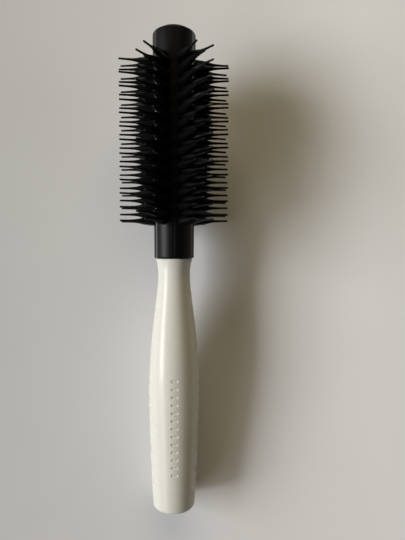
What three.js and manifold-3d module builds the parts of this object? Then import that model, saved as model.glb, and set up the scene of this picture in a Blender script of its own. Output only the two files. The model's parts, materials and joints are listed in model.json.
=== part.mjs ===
// Round barrel brush: a moulded black bristle barrel on a slim white handle.
//
// The brush is drawn along its own axis first. Local +Y runs to the barrel's free end, y = 0 is
// the joint between barrel and handle, and brush angles count from +X towards +Z. The whole
// brush is then laid on a table: +Z up, the table at z = 0, resting on two bristle tips and on
// the heel of the handle. All sizes are in millimetres.

import * as THREE from 'three';
import { mergeVertices } from 'three/addons/utils/BufferGeometryUtils.js';
import Module from 'manifold-3d';

const wasm = await Module();
wasm.setup();

// ---------------------------------------------------------------- driving dimensions

// Clearances.
const seatGap = 0.3;
const slideGap = 0.3;

// Barrel: six lengthwise panels round a core.
const barrelLength = 119.2;
const barrelRadiusAtHandle = 10.45;
const barrelRadiusAtTip = 11.5;
const barrelShoulderRadius = 1.3;
const barrelFootRadius = 0.9;
const panelCount = 6;

// Bristles: tapered teeth in three rows on each panel.
const toothPitch = 7;
const teethInLongRow = 13;
const firstToothFromTip = 15.5;
const rowAngle = 10;
const toothLength = 18;
const toothRootRadius = 2.35;
const toothShoulderHeight = 9.2;
const toothShoulderRadius = 0.85;
const toothTipRadius = 0.45;
const toothSink = 0.8;
const toothSides = 4;

// Core: a grooved tube with a six-sided tang.
const coreRadius = 7.6;
const coreBoreRadius = 3.6;
const ribNeckWidth = 1.8;
const ribFootWidth = 2.8;
const ribDepth = 1.7;
const ribStart = 2;
const tangLength = 18;
const tangCornerRadius = 4.8;

// Tie screw, its washer and its threaded insert.
const screwSeatHeight = 6;
const screwRadius = 1.9;
const screwLength = 32;
const screwHeadRadius = 3.1;
const screwHeadHeight = 2.4;
const screwRecessWidth = 2.5;
const screwRecessDepth = 1.4;
const washerThickness = 0.8;
const insertRadius = 3.2;
const insertLength = 9;

// End cap on the free end.
const capRadius = 9;
const capHeight = 1;
const capRimRadius = 0.6;
const capSpigotLength = 6;

// Handle: outline as distance from the barrel and radius.
const handleLength = 130.8;
const handleTopRadius = 9.75;
const neckTaper = { at: 3.4, radius: 8.9 };
const neck = { at: 8, radius: 8.45 };
const swellStart = { at: 16, radius: 8.85 };
const swell = { at: 32.3, radius: 10.8 };
const shoulder = { at: 54, radius: 12.75 };
const grip = { at: 67, radius: 13.2 };
const lowerGrip = { at: 107, radius: 12.2 };
const heelRadius = 11.1;
const heelEdgeRadius = 1.9;
const skinWall = 2;
const coreSeatWidth = 0.8;
const heelWall = 3;

// Handle spine and end plug.
const spineTubeRadius = 6;
const spineBoreRadius = 2.5;
const finCount = 4;
const finWidth = 1.8;
const plugRadius = 6.5;
const plugStemRadius = 2.2;
const plugStemLength = 9;

// Grip notches along the top of the handle.
const notchCount = 13;
const lastNotchFromHeel = 20.8;
const notchPitch = 4;
const notchLength = 3.5;
const notchWidth = 1.2;
const notchDepth = 0.35;
const notchReach = 3;

// ---------------------------------------------------------------- sizes that follow

const facets = 36;
const innerFacets = 18;
const arcSteps = 2;
const stepsPerStation = 2;
const panelAngle = 360 / panelCount;
const panelInnerRadius = coreRadius + slideGap;
const screwHoleRadius = screwRadius + slideGap;
const washerRadius = coreBoreRadius - slideGap;
const screwUnderHead = screwSeatHeight + washerThickness + 2 * seatGap;
const screwEnd = screwUnderHead - screwLength;
const insertTop = -tangLength - 2 * seatGap;
const capUnderside = barrelLength + seatGap;
const cutMargin = 1;

const radians = THREE.MathUtils.degToRad;

/** Outer radius of the barrel at height y. */
function barrelRadius(y) {
  return THREE.MathUtils.lerp(barrelRadiusAtHandle, barrelRadiusAtTip, y / barrelLength);
}

/** Handle outline from the barrel to the start of the heel's rounded edge. */
const handleStations = [
  { at: seatGap, radius: handleTopRadius },
  neckTaper,
  neck,
  swellStart,
  swell,
  shoulder,
  grip,
  lowerGrip,
  { at: handleLength - heelEdgeRadius, radius: heelRadius },
];
const handleCurve = new THREE.CatmullRomCurve3(
  handleStations.map((station) => new THREE.Vector3(station.radius, -station.at, 0)),
  false,
  'centripetal',
);
const handleOutline = handleCurve
  .getPoints(stepsPerStation * (handleStations.length - 1))
  .map((point) => new THREE.Vector2(point.x, point.y));

/** Radius of the handle at height y, read from its outline. */
function handleRadius(y) {
  const next = handleOutline.findIndex((point) => point.y <= y);
  const low = handleOutline[next];
  const high = handleOutline[next - 1];
  return THREE.MathUtils.mapLinear(y, low.y, high.y, low.x, high.x);
}

// ---------------------------------------------------------------- solids

/** Turns a closed three.js geometry into a solid that can be cut and joined. */
function solid(geometry) {
  const bare = geometry.clone();
  bare.deleteAttribute('normal');
  bare.deleteAttribute('uv');
  const merged = mergeVertices(bare, 1e-4);
  const mesh = new wasm.Mesh({
    numProp: 3,
    vertProperties: new Float32Array(merged.attributes.position.array),
    triVerts: new Uint32Array(merged.index.array),
  });
  mesh.merge();
  return new wasm.Manifold(mesh);
}

/** Turns a solid back into a geometry for a mesh. */
function geometryOf(body) {
  const mesh = body.getMesh();
  const geometry = new THREE.BufferGeometry();
  geometry.setAttribute('position', new THREE.BufferAttribute(mesh.vertProperties, 3));
  geometry.setIndex(new THREE.BufferAttribute(mesh.triVerts, 1));
  const flat = geometry.toNonIndexed();
  flat.computeVertexNormals();
  return flat;
}

/** Solid of revolution about the brush axis; the outline runs upwards on its outer side. */
function turned(outline, segments = facets) {
  return solid(new THREE.LatheGeometry(outline, segments));
}

/** Plain cylinder about the brush axis from height low to height high. */
function rod(radius, low, high, segments = innerFacets) {
  const geometry = new THREE.CylinderGeometry(radius, radius, high - low, segments);
  geometry.translate(0, (low + high) / 2, 0);
  return solid(geometry);
}

/** Prism along the brush axis; the shape's y direction becomes the brush's +Z. */
function prism(shape, low, high) {
  const geometry = new THREE.ExtrudeGeometry(shape, { depth: high - low, bevelEnabled: false });
  geometry.rotateX(Math.PI / 2);
  geometry.translate(0, high, 0);
  return solid(geometry);
}

/** Quarter round of an outline: points on an arc between two angles in degrees. */
function arc(centreX, centreY, radius, fromAngle, toAngle) {
  return Array.from({ length: arcSteps + 1 }, (_, step) => {
    const angle = radians(THREE.MathUtils.lerp(fromAngle, toAngle, step / arcSteps));
    const x = centreX + radius * Math.cos(angle);
    return new THREE.Vector2(x, centreY + radius * Math.sin(angle));
  });
}

/** Turns a solid about the brush axis by a brush angle, from +X towards +Z. */
function turnTo(body, angle) {
  return body.rotate([0, -angle, 0]);
}

// ---------------------------------------------------------------- materials

function material(color, roughness, metalness = 0) {
  return new THREE.MeshStandardMaterial({ color, roughness, metalness });
}

const bristleBlack = material(0x0e0e10, 0.32);
const coreGrey = material(0x3a3b3e, 0.6);
const handleWhite = material(0xe4e0d2, 0.22);
const spineWhite = material(0xbdbab0, 0.6);
const steel = material(0xb4b6ba, 0.32, 1);
const brass = material(0xb8923f, 0.35, 1);

// ---------------------------------------------------------------- barrel

/** Full ring that the panels are cut from, with its rounded shoulder and foot. */
function barrelRing() {
  const footX = barrelRadius(barrelFootRadius) - barrelFootRadius;
  const shoulderY = barrelLength - barrelShoulderRadius;
  const shoulderX = barrelRadius(shoulderY) - barrelShoulderRadius;
  return turned([
    new THREE.Vector2(panelInnerRadius, 0),
    ...arc(footX, barrelFootRadius, barrelFootRadius, -90, 0),
    ...arc(shoulderX, shoulderY, barrelShoulderRadius, 0, 90),
    new THREE.Vector2(panelInnerRadius, barrelLength),
    new THREE.Vector2(panelInnerRadius, 0),
  ]);
}

/** Wedge that keeps one panel's share of the ring and leaves half a seam on each side. */
function panelWedge() {
  const halfAngle = radians(panelAngle / 2);
  const reach = 2 * barrelRadiusAtTip;
  const apex = seatGap / 2 / Math.sin(halfAngle);
  const side = reach * Math.tan(halfAngle);
  const shape = new THREE.Shape([
    new THREE.Vector2(apex, 0),
    new THREE.Vector2(apex + reach, -side),
    new THREE.Vector2(apex + reach, side),
  ]);
  return prism(shape, -cutMargin, barrelLength + cutMargin);
}

/** Dovetail section, pointing along +X, from the core's surface inwards. */
function dovetail(gap) {
  const top = panelInnerRadius + cutMargin / 2;
  const foot = coreRadius - ribDepth - gap;
  const halfNeck = ribNeckWidth / 2 + gap;
  const halfFoot = ribFootWidth / 2 + gap;
  return new THREE.Shape([
    new THREE.Vector2(foot, -halfFoot),
    new THREE.Vector2(top, -halfNeck),
    new THREE.Vector2(top, halfNeck),
    new THREE.Vector2(foot, halfFoot),
  ]);
}

/** One tooth at height y, standing out from the barrel at a brush angle. */
function tooth(y, angle) {
  const surface = barrelRadius(y);
  const geometry = new THREE.LatheGeometry(
    [
      new THREE.Vector2(0, surface - toothSink),
      new THREE.Vector2(toothRootRadius, surface - toothSink),
      new THREE.Vector2(toothShoulderRadius, surface + toothShoulderHeight),
      new THREE.Vector2(toothTipRadius, surface + toothLength),
      new THREE.Vector2(0, surface + toothLength),
    ],
    toothSides,
  );
  geometry.rotateZ(-Math.PI / 2);
  geometry.translate(0, y, 0);
  return turnTo(solid(geometry), angle);
}

/** Heights of the teeth in a row; the short rows sit half a pitch between the long ones. */
function toothHeights(longRow) {
  const first = barrelLength - firstToothFromTip - (longRow ? 0 : toothPitch / 2);
  const count = longRow ? teethInLongRow : teethInLongRow - 1;
  return Array.from({ length: count }, (_, index) => first - index * toothPitch);
}

/** One lengthwise panel: wall, three rows of teeth and the dovetail rib inside. */
function bristlePanel(ring, wedge, index) {
  const longOutside = index % 2 === 1;
  const teeth = [-1, 0, 1].flatMap((row) => {
    const longRow = longOutside === (row !== 0);
    return toothHeights(longRow).map((y) => tooth(y, row * rowAngle));
  });
  const rib = prism(dovetail(0), ribStart + seatGap, barrelLength);
  const wall = ring.intersect(wedge);
  const panel = wasm.Manifold.union([wall, rib, ...teeth]);
  return turnTo(panel, index * panelAngle);
}

/** Grooved tube that carries the panels, with a six-sided tang for the handle. */
function barrelCore() {
  const tube = rod(coreRadius, 0, barrelLength, facets);
  const tang = rod(tangCornerRadius, -tangLength, cutMargin, 6);
  const groove = prism(dovetail(slideGap), ribStart, barrelLength + cutMargin);
  const grooves = Array.from({ length: panelCount }, (_, index) =>
    turnTo(groove, index * panelAngle),
  );
  const bore = rod(coreBoreRadius, screwSeatHeight, barrelLength + cutMargin);
  const screwHole = rod(screwHoleRadius, -tangLength - cutMargin, screwSeatHeight + cutMargin);
  return tube.add(tang).subtract(wasm.Manifold.union([...grooves, bore, screwHole]));
}

/** Round cap that covers the panels' ends and plugs into the core. */
function endCap() {
  const spigotRadius = coreBoreRadius - slideGap;
  const top = capUnderside + capHeight;
  return turned([
    new THREE.Vector2(0, capUnderside - capSpigotLength),
    new THREE.Vector2(spigotRadius, capUnderside - capSpigotLength),
    new THREE.Vector2(spigotRadius, capUnderside),
    new THREE.Vector2(capRadius, capUnderside),
    ...arc(capRadius - capRimRadius, top - capRimRadius, capRimRadius, 0, 90),
    new THREE.Vector2(0, top),
  ]);
}

// ---------------------------------------------------------------- fasteners

/** Pan-head screw with a six-sided recess; its shank is plain. */
function tieScrew() {
  const top = screwUnderHead + screwHeadHeight;
  const shank = rod(screwRadius, screwEnd, screwUnderHead + cutMargin / 2);
  const head = rod(screwHeadRadius, screwUnderHead, top);
  const recess = rod(screwRecessWidth / 2, top - screwRecessDepth, top + cutMargin, 6);
  return shank.add(head).subtract(recess);
}

/** Flat washer between the screw head and the seat in the core. */
function screwWasher() {
  const low = screwSeatHeight + seatGap;
  const hole = rod(screwHoleRadius, low - cutMargin, low + washerThickness + cutMargin);
  return rod(washerRadius, low, low + washerThickness).subtract(hole);
}

/** Threaded sleeve in the spine that the screw pulls on. */
function threadedInsert() {
  const low = insertTop - insertLength;
  const bore = rod(screwHoleRadius, low - cutMargin, insertTop + cutMargin);
  return rod(insertRadius, low, insertTop).subtract(bore);
}

// ---------------------------------------------------------------- handle

/**
 * Outline of the space inside the skin, made smaller by a gap, from height low upwards. Above
 * the neck it is narrow enough for the core to seat on the skin. A raised height carries the
 * outline on past the handle's top.
 */
function handleInside(gap, low, raised) {
  const mouth = coreRadius - coreSeatWidth;
  const wall = handleOutline.filter((point) => point.y > low + cutMargin);
  const inside = wall.map((point) => {
    const radius = point.x - skinWall;
    const limit = point.y > -neck.at ? mouth : radius;
    return new THREE.Vector2(Math.min(radius, limit) - gap, point.y);
  });
  return [
    new THREE.Vector2(0, low),
    new THREE.Vector2(handleRadius(low) - skinWall - gap, low),
    ...inside.reverse(),
    ...raised.map((height) => new THREE.Vector2(mouth - gap, height - seatGap)),
    new THREE.Vector2(0, Math.max(0, ...raised) - seatGap),
  ];
}

/** Shallow notches across the top of the handle. */
function gripNotches() {
  const half = notchLength / 2 - notchWidth / 2;
  const shape = new THREE.Shape();
  shape.absarc(half, 0, notchWidth / 2, -Math.PI / 2, Math.PI / 2, false);
  shape.absarc(-half, 0, notchWidth / 2, Math.PI / 2, 1.5 * Math.PI, false);
  const options = { depth: notchReach, bevelEnabled: false, curveSegments: arcSteps };
  return Array.from({ length: notchCount }, (_, index) => {
    const y = lastNotchFromHeel - handleLength + index * notchPitch;
    const geometry = new THREE.ExtrudeGeometry(shape, options);
    geometry.translate(0, y, handleRadius(y) - notchDepth);
    return solid(geometry);
  });
}

/** Glossy outer shell of the handle, open at the neck and at the heel. */
function handleSkin() {
  const heelY = heelEdgeRadius - handleLength;
  const outline = [
    new THREE.Vector2(0, -handleLength),
    ...arc(heelRadius - heelEdgeRadius, heelY, heelEdgeRadius, -90, 0),
    ...handleOutline.slice(0, -1).reverse(),
    new THREE.Vector2(0, -seatGap),
  ];
  const cavity = turned(handleInside(0, heelWall - handleLength, [cutMargin]));
  const heelHole = rod(
    plugRadius + slideGap,
    -handleLength - cutMargin,
    heelWall - handleLength + cutMargin,
  );
  const cuts = wasm.Manifold.union([cavity, heelHole, ...gripNotches()]);
  return turned(outline).subtract(cuts);
}

/** Stiff inner spine: a tube with lengthwise fins that the skin is moulded over. */
function handleSpine() {
  const low = heelWall - handleLength + seatGap;
  const envelope = turned(handleInside(seatGap, low, []));
  const fin = new THREE.Shape([
    new THREE.Vector2(0, -finWidth / 2),
    new THREE.Vector2(2 * grip.radius, -finWidth / 2),
    new THREE.Vector2(2 * grip.radius, finWidth / 2),
    new THREE.Vector2(0, finWidth / 2),
  ]);
  const finBlade = prism(fin, -handleLength, 0);
  const fins = Array.from({ length: finCount }, (_, index) =>
    turnTo(finBlade, (index * 360) / finCount),
  );
  const tube = rod(spineTubeRadius, -handleLength, 0);
  const socketDepth = tangLength + seatGap;
  const socket = rod(tangCornerRadius + slideGap, -socketDepth, cutMargin, 6);
  const insertPocket = rod(
    insertRadius + slideGap,
    insertTop - insertLength - seatGap,
    -socketDepth + cutMargin / 2,
  );
  const bore = rod(spineBoreRadius, -handleLength - cutMargin, -socketDepth);
  const web = wasm.Manifold.union([tube, ...fins]);
  return envelope.intersect(web).subtract(wasm.Manifold.union([socket, insertPocket, bore]));
}

/** Plug that closes the heel, with a stem that holds in the spine. */
function endPlug() {
  const top = heelWall - handleLength;
  return turned(
    [
      new THREE.Vector2(0, -handleLength),
      new THREE.Vector2(plugRadius, -handleLength),
      new THREE.Vector2(plugRadius, top),
      new THREE.Vector2(plugStemRadius, top),
      new THREE.Vector2(plugStemRadius, top + plugStemLength),
      new THREE.Vector2(0, top + plugStemLength),
    ],
    innerFacets,
  );
}

// ---------------------------------------------------------------- assembly

const brush = new THREE.Group();

function addPiece(name, body, finish) {
  const mesh = new THREE.Mesh(geometryOf(body), finish);
  mesh.name = name;
  brush.add(mesh);
}

const ring = barrelRing();
const wedge = panelWedge();
for (let index = 0; index < panelCount; index += 1) {
  addPiece(`bristle_panel_${index + 1}`, bristlePanel(ring, wedge, index), bristleBlack);
}
addPiece('barrel_core', barrelCore(), coreGrey);
addPiece('barrel_end_cap', endCap(), bristleBlack);
addPiece('tie_screw', tieScrew(), steel);
addPiece('screw_washer', screwWasher(), steel);
addPiece('threaded_insert', threadedInsert(), brass);
addPiece('handle_skin', handleSkin(), handleWhite);
addPiece('handle_spine', handleSpine(), spineWhite);
addPiece('handle_end_plug', endPlug(), handleWhite);

// ---------------------------------------------------------------- lying on the table

// The lowest row beside the bottom seam carries a bristle tip nearest the handle; the brush
// leans from that tip down to the heel's rounded edge.
const restHeight = toothHeights(true).at(-1);
const restAngle = radians(panelAngle / 2 - rowAngle);
const restTipRadius = barrelRadius(restHeight) + toothLength;
const tipDrop = restTipRadius * Math.cos(restAngle);
const heelCentreY = heelEdgeRadius - handleLength;
const rise = tipDrop - (heelRadius - heelEdgeRadius);
const run = restHeight - heelCentreY;
const tilt = Math.atan2(rise, run) - Math.asin(heelEdgeRadius / Math.hypot(rise, run));

// The row across the seam ends half a pitch further on, so the brush rolls until it touches.
const tipSpread = 2 * restTipRadius * Math.sin(restAngle);
const roll = Math.asin(((toothPitch / 2) * Math.sin(tilt)) / tipSpread);

brush.rotation.y = -roll;
const lying = new THREE.Group();
lying.add(brush);
lying.rotation.x = tilt;
lying.updateMatrixWorld(true);
const extent = new THREE.Box3().setFromObject(lying, true);
const middle = extent.getCenter(new THREE.Vector3());
lying.position.set(-middle.x, -middle.y, -extent.min.z);

const part = new THREE.Group();
part.add(lying);
export default part;
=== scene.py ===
"""Round barrel brush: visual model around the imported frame, in metres, +Z up.

The brush is shaped along its own axis (local +Y towards the barrel's free end, brush angles
from local +X towards local +Z) and every finished mesh is then laid on the table where the
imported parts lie.
"""

import json
import logging
import math
import random
from collections.abc import Iterable, Sequence
from dataclasses import dataclass, field
from enum import Enum, IntEnum

import bmesh
import bpy
import numpy as np
from mathutils import Matrix, Vector


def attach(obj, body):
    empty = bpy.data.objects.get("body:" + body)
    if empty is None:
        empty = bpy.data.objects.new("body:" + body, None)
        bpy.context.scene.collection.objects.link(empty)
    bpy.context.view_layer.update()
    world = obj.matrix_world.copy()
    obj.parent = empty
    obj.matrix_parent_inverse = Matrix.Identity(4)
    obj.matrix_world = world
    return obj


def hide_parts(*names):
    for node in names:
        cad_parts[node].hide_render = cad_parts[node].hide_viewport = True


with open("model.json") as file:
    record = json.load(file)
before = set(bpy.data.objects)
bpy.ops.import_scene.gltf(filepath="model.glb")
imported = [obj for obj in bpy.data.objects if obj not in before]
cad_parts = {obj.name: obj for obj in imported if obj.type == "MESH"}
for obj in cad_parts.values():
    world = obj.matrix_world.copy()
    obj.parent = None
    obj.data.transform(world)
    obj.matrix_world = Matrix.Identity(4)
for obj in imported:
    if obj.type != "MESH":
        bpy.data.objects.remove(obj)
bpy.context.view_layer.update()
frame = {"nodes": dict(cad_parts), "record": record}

logging.basicConfig(level=logging.INFO, format="%(message)s")
log = logging.getLogger("brush")

MM = 0.001
FULL_TURN = math.tau
BRUSH_AXIS = Vector((0.0, 1.0, 0.0))
MERGE_DISTANCE = MM * 0.0005

# Shares of the axis on either side of the joint: down to the heel and up to the end cap's face.
HANDLE_REACH = 130.8
BARREL_REACH = 120.5

# Inputs and output of a Mix node that mixes colours.
MIX_FACTOR, MIX_FIRST, MIX_SECOND, MIX_RESULT = 0, 6, 7, 2


# ------------------------------------------------------------------ where the brush lies


@dataclass(frozen=True)
class Lie:
    """How the brush lies on the table.

    Attributes:
        matrix: Takes the brush's own coordinates to the row frame.
        tilt: Lean of the brush's axis above the table, in radians.
        handle_length: Distance from the barrel's joint to the heel.
        barrel_length: Distance from the joint to the face of the end cap.
    """

    matrix: Matrix
    tilt: float
    handle_length: float
    barrel_length: float

    @staticmethod
    def from_record(record: dict, joint_share: float, roll: float) -> "Lie":
        """Reads the axis from the record's two end faces.

        Args:
            record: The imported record.
            joint_share: Share of the axis from heel to cap that the handle takes.
            roll: Turn of the brush about its own axis, in radians.

        Returns:
            The brush's lie.
        """
        mounts = {mount["name"]: mount for mount in record["mounts"]}
        heel = Vector(mounts["handle_end_face"]["pos_m"])
        crown = Vector(mounts["barrel_end_face"]["pos_m"])
        axis = (crown - heel).normalized()
        tilt = math.asin(axis.z)
        joint = heel.lerp(crown, joint_share)
        turn = Matrix.Rotation(tilt, 4, "X") @ Matrix.Rotation(-roll, 4, "Y")
        return Lie(
            matrix=Matrix.Translation(joint) @ turn,
            tilt=tilt,
            handle_length=(joint - heel).length,
            barrel_length=(crown - joint).length,
        )


# ------------------------------------------------------------------ shader helpers


class Sock:
    """An output socket that adds Math nodes when it is used in an expression."""

    def __init__(self, book: "NodeBook", socket: bpy.types.NodeSocket) -> None:
        """Keeps the socket and the tree that it belongs to."""
        self.book = book
        self.socket = socket

    def _math(self, operation: str, first: object, second: object) -> "Sock":
        """Adds one Math node.

        Args:
            operation: The node's operation.
            first: Left operand, a Sock or a number.
            second: Right operand, a Sock or a number.

        Returns:
            The node's value.
        """
        return self.book.node("ShaderNodeMath", {"operation": operation}, {0: first, 1: second})

    def __add__(self, other: object) -> "Sock":
        """Sum."""
        return self._math("ADD", self, other)

    def __radd__(self, other: object) -> "Sock":
        """Sum with the number on the left."""
        return self._math("ADD", other, self)

    def __sub__(self, other: object) -> "Sock":
        """Difference."""
        return self._math("SUBTRACT", self, other)

    def __rsub__(self, other: object) -> "Sock":
        """Difference with the number on the left."""
        return self._math("SUBTRACT", other, self)

    def __mul__(self, other: object) -> "Sock":
        """Product."""
        return self._math("MULTIPLY", self, other)

    def __rmul__(self, other: object) -> "Sock":
        """Product with the number on the left."""
        return self._math("MULTIPLY", other, self)


class NodeBook:
    """Writes the node tree of one material or of the world."""

    def __init__(self, tree: bpy.types.NodeTree) -> None:
        """Starts from an empty tree."""
        self.tree = tree
        tree.nodes.clear()

    def _fill(self, socket: bpy.types.NodeSocket, value: object) -> None:
        """Links a Sock to a socket, or sets the socket's own value.

        Args:
            socket: Input to fill.
            value: A Sock, or a constant of the socket's kind.
        """
        if isinstance(value, Sock):
            self.tree.links.new(value.socket, socket)
        else:
            socket.default_value = value

    def node(self, kind: str, settings: dict, sockets: dict, output: int | str = 0) -> Sock:
        """Adds a node.

        Args:
            kind: The node's type name.
            settings: Attributes that are set before the sockets.
            sockets: Values or Socks by input name or index.
            output: Output to return, by name or index.

        Returns:
            The chosen output.
        """
        made = self.tree.nodes.new(kind)
        for key, value in settings.items():
            setattr(made, key, value)
        for key, value in sockets.items():
            self._fill(made.inputs[key], value)
        return Sock(self, made.outputs[output])

    def along_brush(self, tilt: float) -> Sock:
        """Object coordinates turned so that Y runs along the brush.

        Args:
            tilt: Lean of the brush's axis, in radians.

        Returns:
            The turned coordinates.
        """
        place = self.node("ShaderNodeTexCoord", {}, {}, "Object")
        turn = {"Vector": place, "Rotation": (-tilt, 0.0, 0.0)}
        return self.node("ShaderNodeMapping", {}, turn)

    def height(self, place: Sock) -> Sock:
        """Distance along Y of turned coordinates, in metres."""
        return self.node("ShaderNodeSeparateXYZ", {}, {"Vector": place}, "Y")

    def stretched(self, place: Sock, scale: Sequence[float]) -> Sock:
        """Coordinates scaled differently along each axis."""
        return self.node("ShaderNodeMapping", {}, {"Vector": place, "Scale": tuple(scale)})

    def noise(self, place: Sock, scale: float, detail: float = 2.0, rough: float = 0.5) -> Sock:
        """Noise from 0 to 1 at a number of features per metre."""
        values = {"Vector": place, "Scale": scale, "Detail": detail, "Roughness": rough}
        return self.node("ShaderNodeTexNoise", {}, values)

    def steps(self, value: Sock, low: float, high: float) -> Sock:
        """A smooth rise from 0 to 1.

        Args:
            value: What is compared.
            low: Value where the rise starts.
            high: Value where it ends.

        Returns:
            The risen share.
        """
        settings = {"interpolation_type": "SMOOTHSTEP", "clamp": True}
        limits = {"Value": value, "From Min": low, "From Max": high}
        return self.node("ShaderNodeMapRange", settings, limits)

    def blend(self, share: Sock, low: Sequence[float], high: Sequence[float]) -> Sock:
        """Mixes two colours.

        Args:
            share: How much of the second colour there is.
            low: Colour at share 0, a Sock or three channels.
            high: Colour at share 1, a Sock or three channels.

        Returns:
            The mixed colour.
        """
        made = self.tree.nodes.new("ShaderNodeMix")
        made.data_type = "RGBA"
        self._fill(made.inputs[MIX_FACTOR], share)
        self._fill(made.inputs[MIX_FIRST], low if isinstance(low, Sock) else (*low, 1.0))
        self._fill(made.inputs[MIX_SECOND], high if isinstance(high, Sock) else (*high, 1.0))
        return Sock(self, made.outputs[MIX_RESULT])

    def bump(self, height: Sock, distance: float, strength: float = 1.0) -> Sock:
        """A bumped normal; the distance is in metres."""
        values = {"Height": height, "Distance": distance, "Strength": strength}
        return self.node("ShaderNodeBump", {}, values)

    def surface(self, sockets: dict) -> None:
        """Ends the tree in a Principled shader."""
        shader = self.node("ShaderNodeBsdfPrincipled", {}, sockets)
        self.node_output("ShaderNodeOutputMaterial", shader)

    def node_output(self, kind: str, shader: Sock) -> None:
        """Adds the output node."""
        made = self.tree.nodes.new(kind)
        self.tree.links.new(shader.socket, made.inputs["Surface"])


def new_material(name: str) -> tuple[bpy.types.Material, NodeBook]:
    """Makes an empty node material.

    Args:
        name: The material's name.

    Returns:
        The material and the book that writes its tree.
    """
    material = bpy.data.materials.new(name)
    material.use_nodes = True
    return material, NodeBook(material.node_tree)


# ------------------------------------------------------------------ finishes


@dataclass(frozen=True)
class BlackPlastic:
    """Polished black moulding with fine moulding ripple and a trace of dust.

    Attributes:
        name: Name of the material.
        roughness: Mean roughness.
        spread: How far the roughness wanders.
        ripple: Depth of the moulding ripple, in metres.
        dust: Greyness that settled dust adds.
        shine: Strength of the mirror-like reflection.
        rubbed: Roughness taken off near the handle, where fingers polish the plastic.
        clean: Colour of the bare plastic.
        lint: Colour of settled dust.
        grip_end: Height above the joint where the polish by fingers starts to fade, in metres.
        grip_fade: Height where it has gone, in metres.
    """

    name: str
    roughness: float
    spread: float
    ripple: float
    dust: float
    shine: float = 0.25
    rubbed: float = 0.0
    clean: tuple[float, float, float] = (0.0032, 0.0032, 0.0038)
    lint: tuple[float, float, float] = (0.14, 0.135, 0.125)
    grip_end: float = 0.024
    grip_fade: float = 0.034

    def material(self, tilt: float) -> bpy.types.Material:
        """Writes the material.

        Args:
            tilt: Lean of the brush's axis, in radians.

        Returns:
            The material.
        """
        made, book = new_material(self.name)
        place = book.along_brush(tilt)
        handled = book.noise(place, scale=90.0, detail=4.0, rough=0.6)
        along = book.stretched(place, (1.0, 0.12, 1.0))
        flow = book.noise(along, scale=700.0, detail=3.0)
        fluff = book.noise(place, scale=1500.0, detail=2.0, rough=0.7)
        lint = book.steps(fluff, low=0.66, high=0.76)
        grip = book.steps(book.height(place), low=self.grip_fade, high=self.grip_end)
        rough = self.roughness + (handled - 0.5) * self.spread + lint * 0.12
        book.surface(
            {
                "Base Color": book.blend(lint * self.dust, self.clean, self.lint),
                "Roughness": rough - grip * self.rubbed,
                "Normal": book.bump(flow, self.ripple),
                "IOR": 1.5,
                "Specular IOR Level": self.shine,
            }
        )
        return made


@dataclass(frozen=True)
class WhiteGloss:
    """Glossy warm white handle plastic with rubbed scratches, smudges and tiny specks.

    Attributes:
        name: Name of the material.
        colour: Clean colour.
        aged: Colour of the slightly yellowed patches.
        speck: Colour of the tiny specks.
        roughness: Roughness of the clean polish.
        shine: Strength of the mirror-like reflection.
        coat: Strength of the thin clear skin over it.
        coat_roughness: Roughness of that skin.
    """

    name: str = "warm_white_gloss"
    colour: tuple[float, float, float] = (0.63, 0.62, 0.56)
    aged: tuple[float, float, float] = (0.585, 0.57, 0.50)
    speck: tuple[float, float, float] = (0.10, 0.08, 0.055)
    roughness: float = 0.27
    shine: float = 0.2
    coat: float = 0.12
    coat_roughness: float = 0.08

    def material(self, tilt: float) -> bpy.types.Material:
        """Writes the material.

        Args:
            tilt: Lean of the brush's axis, in radians.

        Returns:
            The material.
        """
        made, book = new_material(self.name)
        place = book.along_brush(tilt)
        clouds = book.noise(place, scale=28.0, detail=3.0)
        patches = book.steps(clouds, low=0.45, high=0.8)
        prints = book.noise(place, scale=75.0, detail=4.0, rough=0.65)
        smudge = book.steps(prints, low=0.48, high=0.72)
        along = book.stretched(place, (1.0, 0.05, 1.0))
        rubbed = book.noise(along, scale=2600.0, detail=2.0, rough=0.6)
        scratch = book.steps(rubbed, low=0.66, high=0.72)
        dots = book.noise(place, scale=900.0, detail=1.0, rough=0.4)
        specks = book.steps(dots, low=0.775, high=0.79)
        body = book.blend(patches * 0.55, self.colour, self.aged)
        ripple = book.noise(place, scale=160.0, detail=2.0) + scratch * 0.10
        book.surface(
            {
                "Base Color": book.blend(specks * 0.4, body, self.speck),
                "Roughness": self.roughness + smudge * 0.13 + scratch * 0.10,
                "Normal": book.bump(ripple, distance=0.00003, strength=0.35),
                "IOR": 1.5,
                "Specular IOR Level": self.shine,
                "Coat Weight": self.coat - smudge * 0.05,
                "Coat Roughness": self.coat_roughness,
            }
        )
        return made


@dataclass(frozen=True)
class RawPlastic:
    """Unpolished inner moulding with a fine spark-eroded grain.

    Attributes:
        name: Name of the material.
        colour: Colour of the plastic.
        shade: How much of the colour is left in its darkest clouds.
    """

    name: str
    colour: tuple[float, float, float]
    shade: float = 0.82

    def material(self, tilt: float) -> bpy.types.Material:
        """Writes the material.

        Args:
            tilt: Lean of the brush's axis, in radians.

        Returns:
            The material.
        """
        made, book = new_material(self.name)
        place = book.along_brush(tilt)
        grain = book.noise(place, scale=3200.0, detail=2.0)
        cloud = book.noise(place, scale=120.0, detail=3.0)
        darker = tuple(channel * self.shade for channel in self.colour)
        book.surface(
            {
                "Base Color": book.blend(cloud, darker, self.colour),
                "Roughness": 0.5 + grain * 0.16,
                "Normal": book.bump(grain, distance=0.00003),
            }
        )
        return made


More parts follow.
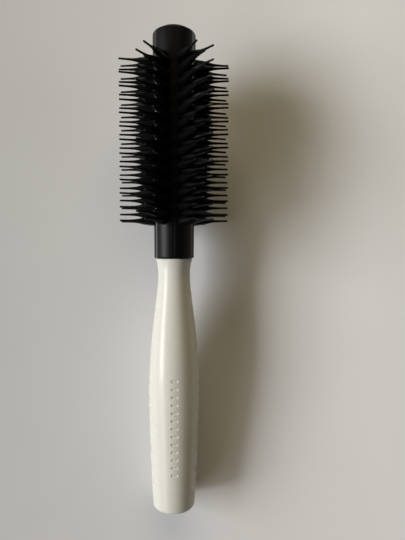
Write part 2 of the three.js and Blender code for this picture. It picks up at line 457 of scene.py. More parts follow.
@dataclass(frozen=True)
class TurnedMetal:
    """Plated or bare metal with fine turning marks.

    Attributes:
        name: Name of the material.
        colour: Colour of the metal.
        tarnish: Colour where it has dulled.
    """

    name: str
    colour: tuple[float, float, float]
    tarnish: tuple[float, float, float]

    def material(self, tilt: float) -> bpy.types.Material:
        """Writes the material.

        Args:
            tilt: Lean of the brush's axis, in radians.

        Returns:
            The material.
        """
        made, book = new_material(self.name)
        place = book.along_brush(tilt)
        round_about = book.stretched(place, (0.1, 1.0, 0.1))
        rings = book.noise(round_about, scale=5000.0, detail=2.0)
        clouds = book.noise(place, scale=300.0, detail=4.0)
        dull = book.steps(clouds, low=0.4, high=0.75)
        book.surface(
            {
                "Base Color": book.blend(dull, self.colour, self.tarnish),
                "Roughness": 0.24 + rings * 0.14 + dull * 0.1,
                "Normal": book.bump(rings, distance=0.00001),
                "Metallic": 1.0,
            }
        )
        return made


@dataclass(frozen=True)
class TableTop:
    """Plain pale table with the faintest mottling, and painted shading: darker at its left side
    and lighter at its right side, in place of uneven light.

    Attributes:
        name: Name of the material.
        left: Colour at the left edge of the view, darkened as painted shade.
        right: Colour at the right edge of the view, lightened as painted light.
        reach: Distance from the brush to either edge of the painted shading, in metres.
        mottling: How far the mottling shifts the blend of the two colours.
        shine: Strength of the mirror-like reflection.
    """

    name: str = "pale_table"
    left: tuple[float, float, float] = (0.523, 0.521, 0.525)
    right: tuple[float, float, float] = (0.872, 0.87, 0.885)
    reach: float = 0.125
    mottling: float = 0.16
    shine: float = 0.2

    def material(self) -> bpy.types.Material:
        """Writes the material.

        Returns:
            The material.
        """
        made, book = new_material(self.name)
        place = book.node("ShaderNodeTexCoord", {}, {}, "Object")
        aside = book.node("ShaderNodeSeparateXYZ", {}, {"Vector": place}, "X")
        mottle = book.noise(place, scale=14.0, detail=4.0)
        grain = book.noise(place, scale=900.0, detail=2.0)
        # Painted shading: the blend runs from the darker left colour to the lighter right colour
        # across the table, standing in for uneven light, with a little random mottling.
        limits = {"Value": aside, "From Min": -self.reach, "From Max": self.reach}
        across = book.node("ShaderNodeMapRange", {"clamp": True}, limits)
        share = across + (mottle - 0.5) * self.mottling
        book.surface(
            {
                "Base Color": book.blend(share, self.left, self.right),
                "Roughness": 0.55 + grain * 0.08,
                "Normal": book.bump(grain, distance=0.00002, strength=0.3),
                "Specular IOR Level": self.shine,
            }
        )
        return made


# ------------------------------------------------------------------ shaping helpers


class Slot(Enum):
    """The record's material slots."""

    BRISTLE = "bristle_black"
    CORE = "core_grey"
    HANDLE = "handle_white"
    SPINE = "spine_white"
    STEEL = "steel"
    BRASS = "brass"


class Surface(IntEnum):
    """Kinds of surface on a bristle panel, in the order of its materials."""

    WALL = 0
    TOOTH = 1
    SEAM = 2


def quarter(
    centre: tuple[float, float], radius: float, start: float, end: float, steps: int
) -> list[tuple[float, float]]:
    """Points on an arc of an outline.

    Args:
        centre: Centre of the arc, as radius and height.
        radius: Radius of the arc.
        start: First angle, in degrees.
        end: Last angle, in degrees.
        steps: Number of straight steps.

    Returns:
        The points, ends included.
    """
    angles = (math.radians(start + (end - start) * step / steps) for step in range(steps + 1))
    return [(centre[0] + radius * math.cos(a), centre[1] + radius * math.sin(a)) for a in angles]


def draw_outline(
    bm: bmesh.types.BMesh, points: Sequence[tuple[float, float]], closed: bool
) -> list[bmesh.types.BMVert | bmesh.types.BMEdge]:
    """Draws an outline in the plane through the brush's axis.

    Args:
        bm: Mesh to draw in.
        points: Points as radius and height.
        closed: Whether the last point joins the first.

    Returns:
        The new vertices and edges.
    """
    verts = [bm.verts.new((radius, height, 0.0)) for radius, height in points]
    pairs = list(zip(verts, verts[1:]))
    if closed:
        pairs.append((verts[-1], verts[0]))
    return [*verts, *(bm.edges.new(pair) for pair in pairs)]


def turned(
    points: Sequence[tuple[float, float]], steps: int, closed: bool = False
) -> bmesh.types.BMesh:
    """Spins an outline once round the brush's axis.

    Args:
        points: Outline as radius and height; an open one starts and ends on the axis.
        steps: Number of segments round.
        closed: Whether the outline closes on itself.

    Returns:
        The closed shape, its faces pointing out.
    """
    bm = bmesh.new()
    outline = draw_outline(bm, points, closed)
    bmesh.ops.spin(
        bm,
        geom=outline,
        cent=(0.0, 0.0, 0.0),
        axis=BRUSH_AXIS,
        angle=FULL_TURN,
        steps=steps,
        use_merge=True,
    )
    bmesh.ops.remove_doubles(bm, verts=bm.verts, dist=MERGE_DISTANCE)
    bmesh.ops.recalc_face_normals(bm, faces=bm.faces)
    return bm


def round_edges(
    bm: bmesh.types.BMesh, edges: Iterable[bmesh.types.BMEdge], width: float, segments: int
) -> None:
    """Rounds some edges of a mesh.

    Args:
        bm: The mesh.
        edges: The edges to round.
        width: How far the rounding reaches along each face.
        segments: Number of faces across the rounding.
    """
    bmesh.ops.bevel(
        bm,
        geom=list(edges),
        offset=width,
        offset_type="OFFSET",
        affect="EDGES",
        segments=segments,
        profile=0.5,
        material=-1,
        clamp_overlap=True,
    )


def outward(angle: float) -> Vector:
    """Direction away from the brush's axis at a brush angle in degrees."""
    return Vector((math.cos(math.radians(angle)), 0.0, math.sin(math.radians(angle))))


def smooth_share(share: float) -> float:
    """A share from 0 to 1 with a soft start and a soft end."""
    return share * share * (3.0 - 2.0 * share)


def turn_about_brush(bm: bmesh.types.BMesh, angle: float) -> None:
    """Turns a whole mesh about the brush's axis by a brush angle in degrees."""
    turn = Matrix.Rotation(-math.radians(angle), 3, "Y")
    bmesh.ops.rotate(bm, cent=(0.0, 0.0, 0.0), matrix=turn, verts=bm.verts)


def finished(
    bm: bmesh.types.BMesh,
    name: str,
    lie: Lie,
    materials: Sequence[bpy.types.Material],
    nodes: Sequence[str],
    crease: float = 38.0,
) -> bpy.types.Object:
    """Makes a piece of a mesh and puts it in the frame.

    Args:
        bm: The shape in the brush's own coordinates; it is freed.
        name: Name of the piece.
        lie: The brush's lie.
        materials: Its materials, in the order of the faces' indices.
        nodes: CAD nodes that the piece stands for.
        crease: Angle in degrees above which an edge stays sharp.

    Returns:
        The piece.
    """
    bmesh.ops.transform(bm, matrix=lie.matrix, verts=bm.verts)
    for face in bm.faces:
        face.smooth = True
    mesh = bpy.data.meshes.new(name)
    bm.to_mesh(mesh)
    bm.free()
    mesh.set_sharp_from_angle(angle=math.radians(crease))
    for material in materials:
        mesh.materials.append(material)
    piece = bpy.data.objects.new(name, mesh)
    bpy.context.scene.collection.objects.link(piece)
    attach(piece, "root")
    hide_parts(*nodes)
    log.info("%s: %d faces for %s", name, len(mesh.polygons), ", ".join(nodes))
    return piece


# ------------------------------------------------------------------ barrel


@dataclass
class Tooth:
    """One tapered bristle, drawn along +X from the barrel's surface.

    Attributes:
        length: Height of the tip above the surface.
        outline: Height above the surface and radius, from inside the wall to the tip.
        sides: Number of sides.
        tip_round: Height of the rounding at the tip.
        tip_share: Share of the tip's radius that is left at the top of the rounding.
    """

    length: float = 18.0 * MM
    outline: tuple[tuple[float, float], ...] = (
        (-0.7, 2.5),
        (0.5, 2.38),
        (3.6, 2.06),
        (6.4, 1.60),
        (8.3, 1.08),
        (10.2, 0.76),
        (13.0, 0.57),
        (17.6, 0.51),
    )
    sides: int = 8
    tip_round: float = 0.12 * MM
    tip_share: float = 0.66

    def draw(self, bm: bmesh.types.BMesh) -> list[bmesh.types.BMVert]:
        """Spins the tooth in a mesh.

        Args:
            bm: Mesh to draw in.

        Returns:
            The tooth's vertices.
        """
        tip_radius = self.outline[-1][1]
        points = [(radius * MM, height * MM) for height, radius in self.outline]
        points.insert(0, (0.0, self.outline[0][0] * MM))
        points.append((tip_radius * self.tip_share * MM, self.length - self.tip_round))
        points.append((0.0, self.length))
        verts = [bm.verts.new((height, radius, 0.0)) for radius, height in points]
        edges = [bm.edges.new(pair) for pair in zip(verts, verts[1:])]
        before = set(bm.verts) - set(verts)
        bmesh.ops.spin(
            bm,
            geom=[*verts, *edges],
            cent=(0.0, 0.0, 0.0),
            axis=(1.0, 0.0, 0.0),
            angle=FULL_TURN,
            steps=self.sides,
            use_merge=True,
        )
        made = [vert for vert in bm.verts if vert not in before]
        bmesh.ops.remove_doubles(bm, verts=made, dist=MERGE_DISTANCE)
        return [vert for vert in bm.verts if vert not in before]


@dataclass
class Barrel:
    """The bristle barrel: six lengthwise panels and the cap on their free end.

    Attributes:
        lie: Where the brush lies.
        wall_finish: Finish of the panels' smooth wall and of the cap.
        tooth_finish: Finish of the teeth.
        seam_finish: Finish of the rounded edges along the open seams.
        length: Length of the panels.
        radius_at_handle: Outer radius of the smooth wall at the joint.
        radius_at_tip: Outer radius at the free end.
        inner_radius: Radius of the bore that the core fills.
        shoulder_radius: Rounding of the outer edge at the free end.
        foot_radius: Rounding of the outer edge at the joint.
        panel_count: Number of panels round the barrel.
        wall_steps: Number of flat steps round one panel.
        seam: Width of the gap between two panels.
        open_seam_rounding: Rounding of the panels' edges along every second seam.
        tight_seam_rounding: Rounding along the other seams.
        rounding_steps: Number of faces across either rounding.
        corner_angle: Least turn from face to face that counts as a corner, in degrees.
        tooth: The bristle that is repeated.
        pitch: Distance from one bristle of a row to the next.
        teeth_in_long_row: Bristles in a long row; a short row has one less.
        first_from_tip: Distance of a long row's first bristle from the free end.
        rows: Places of a panel's rows, counted from its middle.
        row_angle: Angle between neighbouring rows of a panel, in degrees.
        sway: Spread of the bristles' small lean, in degrees.
        seed: Seed of the bristles' lean.
        cap_radius: Radius of the end cap.
        cap_gap: Gap under the cap.
        cap_rim: Rounding of its rim.
        cap_dish_radius: Radius of the shallow dish in its face.
        cap_dish_depth: Depth of the dish.
        cap_lip: Size of its small roundings and of the dish's sloping edge.
        pip_radius: Radius of the moulding pip in the dish.
        spigot_radius: Radius of the cap's spigot.
        spigot_length: Length of the spigot.
        turned_steps: Number of segments round the cap.
    """

    lie: Lie
    wall_finish: BlackPlastic = BlackPlastic("satin_black", 0.4, 0.1, 0.000010, 0.1, 0.15)
    tooth_finish: BlackPlastic = BlackPlastic("black_teeth", 0.36, 0.12, 0.000012, 0.2, 0.12)
    seam_finish: BlackPlastic = BlackPlastic("rubbed_edge", 0.2, 0.05, 0.000004, 0.1, 1.0, 0.3)
    length: float = 119.2 * MM
    radius_at_handle: float = 10.45 * MM
    radius_at_tip: float = 11.5 * MM
    inner_radius: float = 7.9 * MM
    shoulder_radius: float = 1.3 * MM
    foot_radius: float = 0.9 * MM
    panel_count: int = 6
    wall_steps: int = 14
    seam: float = 0.08 * MM
    open_seam_rounding: float = 1.0 * MM
    tight_seam_rounding: float = 0.16 * MM
    rounding_steps: int = 5
    corner_angle: float = 60.0
    tooth: Tooth = field(default_factory=Tooth)
    pitch: float = 7.0 * MM
    teeth_in_long_row: int = 13
    first_from_tip: float = 15.5 * MM
    rows: tuple[int, ...] = (-1, 0, 1)
    row_angle: float = 10.0
    sway: float = 1.3
    seed: int = 11
    cap_radius: float = 8.99 * MM
    cap_gap: float = 0.12 * MM
    cap_rim: float = 0.6 * MM
    cap_dish_radius: float = 6.9 * MM
    cap_dish_depth: float = 0.3 * MM
    cap_lip: float = 0.25 * MM
    pip_radius: float = 0.9 * MM
    spigot_radius: float = 3.3 * MM
    spigot_length: float = 6.0 * MM
    turned_steps: int = 72

    def radius(self, height: float) -> float:
        """Outer radius of the smooth wall at a height."""
        share = height / self.length
        return self.radius_at_handle + (self.radius_at_tip - self.radius_at_handle) * share

    def wall_outline(self) -> list[tuple[float, float]]:
        """Closed outline of the wall: rounded foot, taper, rounded shoulder, bore.

        Returns:
            The points, as radius and height.
        """
        foot = (self.radius(self.foot_radius) - self.foot_radius, self.foot_radius)
        shoulder_height = self.length - self.shoulder_radius
        shoulder = (self.radius(shoulder_height) - self.shoulder_radius, shoulder_height)
        return [
            (self.inner_radius, 0.0),
            *quarter(foot, self.foot_radius, -90.0, 0.0, 6),
            *quarter(shoulder, self.shoulder_radius, 0.0, 90.0, 8),
            (self.inner_radius, self.length),
        ]

    def wall(self, index: int) -> bmesh.types.BMesh:
        """Sweeps one panel's wall and rounds its long edges.

        Args:
            index: The panel's number, from 0; it says on which side the panel has its open
                seam, with the more rounded edges.

        Returns:
            The wall, turned about the middle of the panel.
        """
        seam_angle = math.degrees(self.seam / self.radius_at_handle)
        span = 360.0 / self.panel_count - seam_angle
        bm = bmesh.new()
        outline = draw_outline(bm, self.wall_outline(), closed=True)
        loop = [part for part in outline if isinstance(part, bmesh.types.BMVert)]
        section = bm.faces.new(loop)
        bmesh.ops.spin(
            bm,
            geom=[*outline, section],
            cent=(0.0, 0.0, 0.0),
            axis=BRUSH_AXIS,
            angle=-math.radians(span),
            steps=self.wall_steps,
            use_merge=False,
        )
        bmesh.ops.remove_doubles(bm, verts=bm.verts, dist=MERGE_DISTANCE)
        bmesh.ops.recalc_face_normals(bm, faces=bm.faces)
        turn_about_brush(bm, -span / 2)
        open_side = 1.0 if index % 2 == 0 else -1.0
        for side, width in (
            (open_side, self.open_seam_rounding),
            (-open_side, self.tight_seam_rounding),
        ):
            before = set(bm.faces)
            long_edges = [edge for edge in bm.edges if self._at_seam(edge, side)]
            round_edges(bm, long_edges, width, self.rounding_steps)
            for face in set(bm.faces) - before:
                face.material_index = Surface.SEAM if side == open_side else Surface.WALL
        return bm

    def _at_seam(self, edge: bmesh.types.BMEdge, side: float) -> bool:
        """Whether an edge is an outer corner of the wall at a seam.

        Args:
            edge: The edge.
            side: 1 for the seam at the larger angle, -1 for the other.

        Returns:
            True for such a corner.
        """
        outer = all(math.hypot(v.co.x, v.co.z) > self.inner_radius + MM for v in edge.verts)
        on_side = all(v.co.z * side > self.inner_radius / 2 for v in edge.verts)
        sharp = edge.calc_face_angle(0.0) > math.radians(self.corner_angle)
        return outer and on_side and sharp

    def tooth_heights(self, long_row: bool) -> list[float]:
        """Heights of the teeth in a row.

        Args:
            long_row: Whether the row is a long one.

        Returns:
            The heights above the joint, from the free end down.
        """
        first = self.length - self.first_from_tip - (0.0 if long_row else self.pitch / 2)
        count = self.teeth_in_long_row - (0 if long_row else 1)
        return [first - index * self.pitch for index in range(count)]

    def plant_teeth(self, bm: bmesh.types.BMesh, index: int, draw: random.Random) -> None:
        """Adds a panel's rows of teeth.

        Args:
            bm: The panel's mesh.
            index: The panel's number, from 0.
            draw: Source of each tooth's small sway.
        """
        wall_faces = set(bm.faces)
        pattern = self.tooth.draw(bm)
        faces = {face for vert in pattern for face in vert.link_faces}
        edges = {edge for vert in pattern for edge in vert.link_edges}
        shape = [*pattern, *edges, *faces]
        for row in self.rows:
            long_row = (row == 0) == (index % 2 == 0)
            for height in self.tooth_heights(long_row):
                sway = [math.radians(draw.gauss(0.0, self.sway / 2)) for _ in range(2)]
                place = (
                    Matrix.Rotation(-math.radians(row * self.row_angle), 4, "Y")
                    @ Matrix.Translation((self.radius(height), height, 0.0))
                    @ Matrix.Rotation(sway[0], 4, "Y")
                    @ Matrix.Rotation(sway[1], 4, "Z")
                    @ Matrix.Rotation(draw.uniform(0.0, FULL_TURN), 4, "X")
                )
                copy = bmesh.ops.duplicate(bm, geom=shape)["geom"]
                verts = [part for part in copy if isinstance(part, bmesh.types.BMVert)]
                bmesh.ops.transform(bm, matrix=place, verts=verts)
        bmesh.ops.delete(bm, geom=pattern, context="VERTS")
        teeth = [face for face in bm.faces if face not in wall_faces]
        bmesh.ops.recalc_face_normals(bm, faces=teeth)
        for face in teeth:
            face.material_index = Surface.TOOTH

    def build_panels(self) -> None:
        """Makes the six bristle panels."""
        finishes = (self.wall_finish, self.tooth_finish, self.seam_finish)
        materials = [finish.material(self.lie.tilt) for finish in finishes]
        draw = random.Random(self.seed)
        for index in range(self.panel_count):
            bm = self.wall(index)
            self.plant_teeth(bm, index, draw)
            turn_about_brush(bm, index * 360.0 / self.panel_count)
            node = f"bristle_panel_{index + 1}"
            finished(bm, f"moulded_{node}", self.lie, materials, [node])

    def build_cap(self) -> None:
        """Makes the end cap, with a shallow dish and a moulding pip in its face."""
        low = self.length + self.cap_gap
        top = self.lie.barrel_length
        rim = (self.cap_radius - self.cap_rim, top - self.cap_rim)
        lip = self.cap_lip
        floor = top - self.cap_dish_depth
        pip = self.pip_radius
        outline = [
            (0.0, low - self.spigot_length),
            *quarter((self.spigot_radius - lip, low - self.spigot_length + lip), lip, -90, 0, 3),
            (self.spigot_radius, low),
            *quarter((self.cap_radius - lip, low + lip), lip, -90, 0, 3),
            *quarter(rim, self.cap_rim, 0.0, 90.0, 8),
            (self.cap_dish_radius + lip, top),
            (self.cap_dish_radius + lip * 0.35, top - lip * 0.3),
            (self.cap_dish_radius - lip * 0.35, floor + lip * 0.3),
            (self.cap_dish_radius - lip, floor),
            (pip + lip * 0.6, floor),
            (pip, floor + lip * 0.25),
            (pip * 0.8, floor + lip * 0.55),
            (0.0, floor + lip * 0.55),
        ]
        bm = turned(outline, self.turned_steps)
        materials = [self.wall_finish.material(self.lie.tilt)]
        finished(bm, "end_cap_disc", self.lie, materials, ["barrel_end_cap"])


# ------------------------------------------------------------------ handle


class Profile:
    """A smooth curve through stations, with a steady bend (a natural cubic spline)."""

    def __init__(self, stations: Sequence[tuple[float, float]]) -> None:
        """Works out the bend at each station.

        Args:
            stations: Distance from the joint and radius of each.
        """
        self.at = np.array([station[0] for station in stations])
        self.value = np.array([station[1] for station in stations])
        gaps = np.diff(self.at)
        slopes = np.diff(self.value) / gaps
        count = len(stations)
        system = np.eye(count)
        target = np.zeros(count)
        for index in range(1, count - 1):
            left, right = gaps[index - 1], gaps[index]
            system[index, index - 1 : index + 2] = (left, 2 * (left + right), right)
            target[index] = 6 * (slopes[index] - slopes[index - 1])
        self.bend = np.linalg.solve(system, target)

    def __call__(self, distance: float) -> float:
        """Reads the curve.

        Args:
            distance: Distance from the joint.

        Returns:
            The radius there.
        """
        index = int(np.clip(np.searchsorted(self.at, distance) - 1, 0, len(self.at) - 2))
        gap = self.at[index + 1] - self.at[index]
        right = (distance - self.at[index]) / gap
        left = 1.0 - right
        curve = (left**3 - left) * self.bend[index] + (right**3 - right) * self.bend[index + 1]
        line = left * self.value[index] + right * self.value[index + 1]
        return float(line + curve * gap * gap / 6)


@dataclass
class Handle:
    """The white handle: glossy skin with grip notches, and the plug in its heel.

    Attributes:
        lie: Where the brush lies.
        finish: Finish of both pieces.
        stations: Distance from the joint and radius, in millimetres.
        wall: Thickness of the skin.
        heel_edge: Rounding of the skin's edge at the heel.
        heel_wall: Thickness of the heel round the plug.
        top_edge: Rounding of the skin's edge at the joint.
        plug_hole: Radius of the heel's hole.
        plug_radius: Radius of the plug.
        plug_edge: Rounding of the plug's edge.
        gate_radius: Radius of the gate mark in the plug's face.
        gate_depth: Depth of the gate mark.
        stem_radius: Radius of the plug's stem.
        stem_length: Length of the stem.
        turned_steps: Number of segments round the plug.
        mouth_radius: Inner radius of the skin at the joint.
        neck_at: Distance of the narrow neck from the joint.
        segments: Number of segments round the skin.
        row_step: Length of the skin's rows of faces.
        bore_rows: Number of rows inside the skin.
        notch_count: Number of grip notches.
        notch_pitch: Distance from one notch to the next.
        notch_from_heel: Distance of the last notch from the heel.
        notch_length: Length of a notch, across the handle.
        notch_width: Width of a notch, along the handle.
        notch_depth: Depth of a notch.
        notch_lip: Half of the width of a notch's sloping edge.
        notch_margin: Extra width of the refined area beside the notches.
        notch_angle: Brush angle of the row of notches, in degrees.
        notch_cuts: Cuts that refine each edge near the notches.
        groove_angles: Brush angles of the lengthwise grooves, in degrees.
        groove_width: Width of a groove.
        groove_depth: Depth of a groove.
        groove_stop: Distance from the heel where the grooves end.
    """

    lie: Lie
    finish: WhiteGloss
    stations: tuple[tuple[float, float], ...] = (
        (0.15, 9.75),
        (3.4, 8.9),
        (8.0, 8.45),
        (16.0, 8.85),
        (32.3, 10.8),
        (54.0, 12.75),
        (67.0, 13.19),
        (86.0, 12.98),
        (107.0, 12.2),
        (128.9, 11.06),
    )
    wall: float = 2.0 * MM
    heel_edge: float = 1.95 * MM
    heel_wall: float = 3.0 * MM
    top_edge: float = 0.3 * MM
    plug_hole: float = 6.65 * MM
    plug_radius: float = 6.5 * MM
    plug_edge: float = 0.3 * MM
    gate_radius: float = 0.8 * MM
    gate_depth: float = 0.15 * MM
    stem_radius: float = 2.2 * MM
    stem_length: float = 9.0 * MM
    turned_steps: int = 72
    mouth_radius: float = 6.8 * MM
    neck_at: float = 8.0 * MM
    segments: int = 240
    row_step: float = 1.0 * MM
    bore_rows: int = 24
    notch_count: int = 13
    notch_pitch: float = 4.0 * MM
    notch_from_heel: float = 20.8 * MM
    notch_length: float = 3.5 * MM
    notch_width: float = 1.2 * MM
    notch_depth: float = 0.34 * MM
    notch_lip: float = 0.13 * MM
    notch_margin: float = 1.0 * MM
    notch_angle: float = 90.0
    notch_cuts: int = 5
    groove_angles: tuple[float, ...] = (34.5, 142.5, 270.0)
    groove_width: float = 1.3 * MM
    groove_depth: float = 0.1 * MM
    groove_stop: float = 0.4 * MM

    def __post_init__(self) -> None:
        """Fits the profile in metres."""
        self.profile = Profile([(at * MM, radius * MM) for at, radius in self.stations])

    def outer_outline(self) -> list[tuple[float, float]]:
        """Outside of the skin from its rounded top edge to the flat heel.

        Returns:
            The points, as radius and height.
        """
        length = self.lie.handle_length
        top = self.stations[0][0] * MM
        heel_at = length - self.heel_edge
        rows = round((heel_at - top) / self.row_step)
        distances = [top + (heel_at - top) * row / rows for row in range(1, rows)]
        crown = (self.profile(top) - self.top_edge, -top - self.top_edge)
        heel = (self.profile(heel_at) - self.heel_edge, -heel_at)
        return [
            *quarter(crown, self.top_edge, 90.0, 10.0, 4),
            *((self.profile(distance), -distance) for distance in distances),
            *quarter(heel, self.heel_edge, 0.0, -90.0, 10),
        ]

    def inner_outline(self) -> list[tuple[float, float]]:
        """Inside of the skin from the heel's hole up to the mouth.

        Returns:
            The points, as radius and height.
        """
        length = self.lie.handle_length
        ceiling = length - self.heel_wall
        rows = self.bore_rows
        distances = [ceiling + (self.neck_at - ceiling) * row / rows for row in range(rows + 1)]
        return [
            (self.plug_hole, -length),
            (self.plug_hole, -ceiling),
            *((self.profile(distance) - self.wall, -distance) for distance in distances),
            (self.mouth_radius, -self.stations[0][0] * MM),
        ]

    def notch_depth_at(self, across: float, height: float) -> float:
        """Depth of the notches at a place on the handle's top.

        Args:
            across: Distance sideways from the row's middle line.
            height: Height along the brush's axis.

        Returns:
            The depth below the smooth surface.
        """
        last = self.notch_from_heel - self.lie.handle_length
        index = round((height - last) / self.notch_pitch)
        if not 0 <= index < self.notch_count:
            return 0.0
        along = height - last - index * self.notch_pitch
        straight = self.notch_length / 2 - self.notch_width / 2
        beside = max(0.0, abs(across) - straight)
        inside = self.notch_width / 2 - math.hypot(beside, along)
        share = min(1.0, max(0.0, inside / (self.notch_lip * 2) + 0.5))
        return self.notch_depth * smooth_share(share)

    def is_outside(self, point: Vector) -> bool:
        """Whether a point is on the outer skin and not on the bore."""
        deep = min(-point.y, self.stations[-1][0] * MM)
        return math.hypot(point.x, point.z) > self.profile(deep) - self.wall / 2

    def carve_notches(self, bm: bmesh.types.BMesh) -> None:
        """Refines the top of the skin where the notches are and presses them in.

        Args:
            bm: The skin.
        """
        last = self.notch_from_heel - self.lie.handle_length
        low = last - self.notch_width
        high = last + (self.notch_count - 1) * self.notch_pitch + self.notch_width
        reach = self.notch_length / 2 + self.notch_lip * 2
        up = outward(self.notch_angle)
        side = Vector((up.z, 0.0, -up.x))

        def in_zone(point: Vector) -> bool:
            """Whether a point is near the row of notches, on the outer skin."""
            near = point.dot(up) >= 0.0 and abs(point.dot(side)) < reach + self.notch_margin
            return near and low < point.y < high and self.is_outside(point)

        faces = [face for face in bm.faces if in_zone(face.calc_center_median())]
        edges = {edge for face in faces for edge in face.edges}
        bmesh.ops.subdivide_edges(
            bm, edges=list(edges), cuts=self.notch_cuts, use_grid_fill=True
        )
        for vert in bm.verts:
            if not in_zone(vert.co):
                continue
            flat = Vector((vert.co.x, 0.0, vert.co.z))
            depth = self.notch_depth_at(vert.co.dot(side), vert.co.y)
            flat *= (self.profile(-vert.co.y) - depth) / flat.length
            vert.co = Vector((flat.x, vert.co.y, flat.z))

    def press_grooves(self, bm: bmesh.types.BMesh) -> None:
        """Presses fine rounded grooves lengthwise into the outer skin.

        Args:
            bm: The skin.
        """
        first = self.top_edge * 2
        last = self.lie.handle_length - self.groove_stop
        for angle in self.groove_angles:
            line = outward(angle)
            for vert in bm.verts:
                flat = Vector((vert.co.x, 0.0, vert.co.z))
                aside = (flat - line * flat.length).length
                share = 1.0 - 2.0 * aside / self.groove_width
                if share > 0.0 and first < -vert.co.y < last and self.is_outside(vert.co):
                    depth = self.groove_depth * smooth_share(share)
                    vert.co -= flat.normalized() * depth

    def build_skin(self) -> None:
        """Makes the skin."""
        bm = turned([*self.outer_outline(), *self.inner_outline()], self.segments, closed=True)
        self.press_grooves(bm)
        self.carve_notches(bm)
        materials = [self.finish.material(self.lie.tilt)]
        finished(bm, "handle_gloss_skin", self.lie, materials, ["handle_skin"])

    def build_plug(self) -> None:
        """Makes the heel plug, with a small gate mark in its middle."""
        low = -self.lie.handle_length
        top = low + self.heel_wall
        gate = self.gate_radius
        dip = self.gate_depth
        edge = (self.plug_radius - self.plug_edge, low + self.plug_edge)
        outline = [
            (0.0, low + dip),
            (gate, low + dip),
            (gate + dip, low),
            *quarter(edge, self.plug_edge, -90.0, 0.0, 5),
            (self.plug_radius, top),
            (self.stem_radius, top),
            (self.stem_radius, top + self.stem_length),
            (0.0, top + self.stem_length),
        ]
        bm = turned(outline, self.turned_steps)
        materials = [self.finish.material(self.lie.tilt)]
        finished(bm, "heel_plug", self.lie, materials, ["handle_end_plug"])


# ------------------------------------------------------------------ inner pieces


@dataclass
class InnerPieces:
    """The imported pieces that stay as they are, inside the brush, with real finishes.

    Attributes:
        lie: Where the brush lies.
        core: Finish of the barrel's core.
        spine: Finish of the handle's spine.
        zinc: Finish of the screw and its washer.
        brass: Finish of the threaded insert.
    """

    lie: Lie
    core: RawPlastic = RawPlastic("dark_core_plastic", (0.045, 0.046, 0.05))
    spine: RawPlastic = RawPlastic("natural_spine_plastic", (0.52, 0.5, 0.44))
    zinc: TurnedMetal = TurnedMetal("zinc_plate", (0.62, 0.64, 0.66), (0.42, 0.43, 0.44))
    brass: TurnedMetal = TurnedMetal("turned_brass", (0.68, 0.47, 0.18), (0.42, 0.29, 0.12))

    def dress(self) -> None:
        """Gives each inner piece its material."""
        pieces = (
            (self.core, ("barrel_core",)),
            (self.spine, ("handle_spine",)),
            (self.zinc, ("tie_screw", "screw_washer")),
            (self.brass, ("threaded_insert",)),
        )
        for finish, nodes in pieces:
            material = finish.material(self.lie.tilt)
            for node in nodes:
                mesh = frame["nodes"][node].data
                mesh.materials.clear()
                mesh.materials.append(material)
                log.info("%s: packed solid, %s", node, material.name)


# ------------------------------------------------------------------ studio


@dataclass(frozen=True)
class SoftLight:
    """A soft rectangular light that faces the brush.

    Attributes:
        name: Name of the light.
        azimuth: Direction from the brush, in degrees from -X towards +Y.
        elevation: Height above the table, in degrees.
        half_width: Half of its width as seen from the brush, in degrees.
        half_height: Half of its height as seen from the brush, in degrees.
        radiance: Brightness of its face by colour channel.
        distance: Distance from the brush, in metres.
    """

    name: str
    azimuth: float
    elevation: float
    half_width: float
    half_height: float
    radiance: tuple[float, float, float]
    distance: float = 2.5

    def hang(self) -> None:
        """Makes the light."""
        lamp = bpy.data.lights.new(self.name, "AREA")
        lamp.shape = "RECTANGLE"
        lamp.size = 2 * self.distance * math.tan(math.radians(self.half_width))
        lamp.size_y = 2 * self.distance * math.tan(math.radians(self.half_height))
        peak = max(self.radiance)
        lamp.color = tuple(channel / peak for channel in self.radiance)
        lamp.energy = peak * math.pi * lamp.size * lamp.size_y
        turn, rise = math.radians(self.azimuth), math.radians(self.elevation)
        toward = Vector(
            (-math.cos(rise) * math.cos(turn), math.cos(rise) * math.sin(turn), math.sin(rise))
        )
        facing = (-toward).to_track_quat("-Z", "Y").to_matrix().to_4x4()
        light = bpy.data.objects.new(self.name, lamp)
        light.matrix_world = Matrix.Translation(toward * self.distance) @ facing
        bpy.context.scene.collection.objects.link(light)


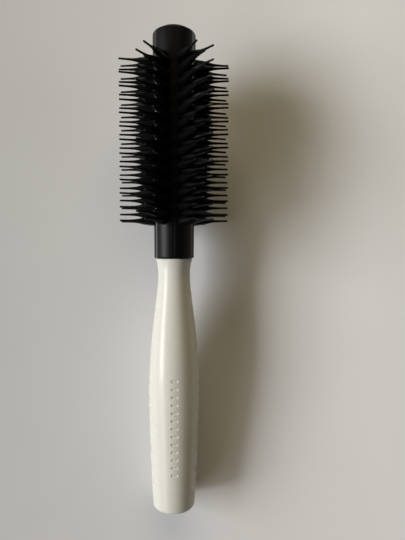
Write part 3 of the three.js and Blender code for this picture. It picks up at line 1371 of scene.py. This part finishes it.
@dataclass
class Studio:
    """Table, a window-like key light, softer room lights and the camera above the brush.

    Attributes:
        lie: Where the brush lies.
        lights: The soft lights.
        table_size: Length of the table's sides.
        camera_height: Height of the camera over the brush's axis.
        camera_aside: Its distance to the right of the axis.
        camera_along: Its distance from the joint along the axis.
        camera_roll: Its turn about the brush's axis, in degrees.
        lens: Focal length, in millimetres.
        sensor: Width of the camera's sensor, in millimetres.
        shift: Shift of the view along its height, as a share of the sensor.
        nearest: Distance from the camera where the view starts.
        room_colour: Faint light from all round.
    """

    lie: Lie
    lights: tuple[SoftLight, ...] = (
        SoftLight("window", 0.0, 27.0, 17.0, 10.0, (15.4, 15.6, 15.6)),
        SoftLight("window_beside", -32.0, 30.0, 16.0, 8.0, (4.5, 4.4, 4.6)),
        SoftLight("lit_wall", 90.0, 35.0, 25.0, 12.0, (2.75, 2.30, 1.35)),
        SoftLight("far_wall", 180.0, 20.0, 30.0, 14.0, (0.42, 0.38, 0.32)),
    )
    table_size: float = 5.0
    camera_height: float = 0.233
    camera_aside: float = 0.0151
    camera_along: float = 0.0044
    camera_roll: float = 4.4
    lens: float = 29.13
    sensor: float = 36.0
    shift: float = -0.037
    nearest: float = 0.01
    room_colour: tuple[float, float, float] = (0.003, 0.003, 0.003)

    def build_table(self) -> None:
        """Makes the table top at z = 0."""
        bm = bmesh.new()
        bmesh.ops.create_grid(bm, x_segments=4, y_segments=4, size=self.table_size / 2)
        mesh = bpy.data.meshes.new("table_top")
        bm.to_mesh(mesh)
        bm.free()
        mesh.materials.append(TableTop().material())
        table = bpy.data.objects.new("table_top", mesh)
        bpy.context.scene.collection.objects.link(table)

    def build_room(self) -> None:
        """Sets the faint light that comes from all round."""
        world = bpy.data.worlds.new("room")
        world.use_nodes = True
        book = NodeBook(world.node_tree)
        faint = {"Color": (*self.room_colour, 1.0), "Strength": 1.0}
        glow = book.node("ShaderNodeBackground", {}, faint)
        book.node_output("ShaderNodeOutputWorld", glow)
        bpy.context.scene.world = world

    def build_camera(self) -> None:
        """Places the camera straight above the brush, a little to its right."""
        roll = Matrix.Rotation(-math.radians(self.camera_roll), 4, "Y")
        right = roll @ Vector((1.0, 0.0, 0.0))
        back = roll @ Vector((0.0, 0.0, 1.0))
        local = back * self.camera_height + right * self.camera_aside
        local.y += self.camera_along
        turn = Matrix((right, BRUSH_AXIS, back)).transposed().to_4x4()
        data = bpy.data.cameras.new("camera")
        data.lens = self.lens
        data.sensor_width = self.sensor
        data.shift_y = self.shift
        data.clip_start = self.nearest
        camera = bpy.data.objects.new("camera", data)
        camera.matrix_world = self.lie.matrix @ Matrix.Translation(local) @ turn
        bpy.context.scene.collection.objects.link(camera)
        bpy.context.scene.camera = camera

    def build(self) -> None:
        """Makes the whole studio."""
        self.build_camera()
        self.build_table()
        self.build_room()
        for light in self.lights:
            light.hang()
        bpy.context.scene.view_settings.view_transform = "Standard"


# ------------------------------------------------------------------ assembly


def lie_of_brush() -> Lie:
    """Works out where the brush lies from the record and the bristles' rest.

    Returns:
        The lie, turned so that the lowest bristles of two rows touch the table together.
    """
    joint_share = HANDLE_REACH / (HANDLE_REACH + BARREL_REACH)
    flat = Lie.from_record(frame["record"], joint_share, roll=0.0)
    shape = Barrel(flat)
    rest = math.radians(180.0 / shape.panel_count - shape.row_angle)
    tip = shape.radius(shape.tooth_heights(True)[-1]) + shape.tooth.length
    spread = 2 * tip * math.sin(rest)
    roll = math.asin(shape.pitch / 2 * math.sin(flat.tilt) / spread)
    return Lie.from_record(frame["record"], joint_share, roll)


def main() -> None:
    """Builds the brush and its studio."""
    lie = lie_of_brush()
    Studio(lie).build()
    barrel = Barrel(lie)
    barrel.build_panels()
    barrel.build_cap()
    handle = Handle(lie, WhiteGloss())
    handle.build_skin()
    handle.build_plug()
    InnerPieces(lie).dress()


if __name__ == "__main__":
    main()
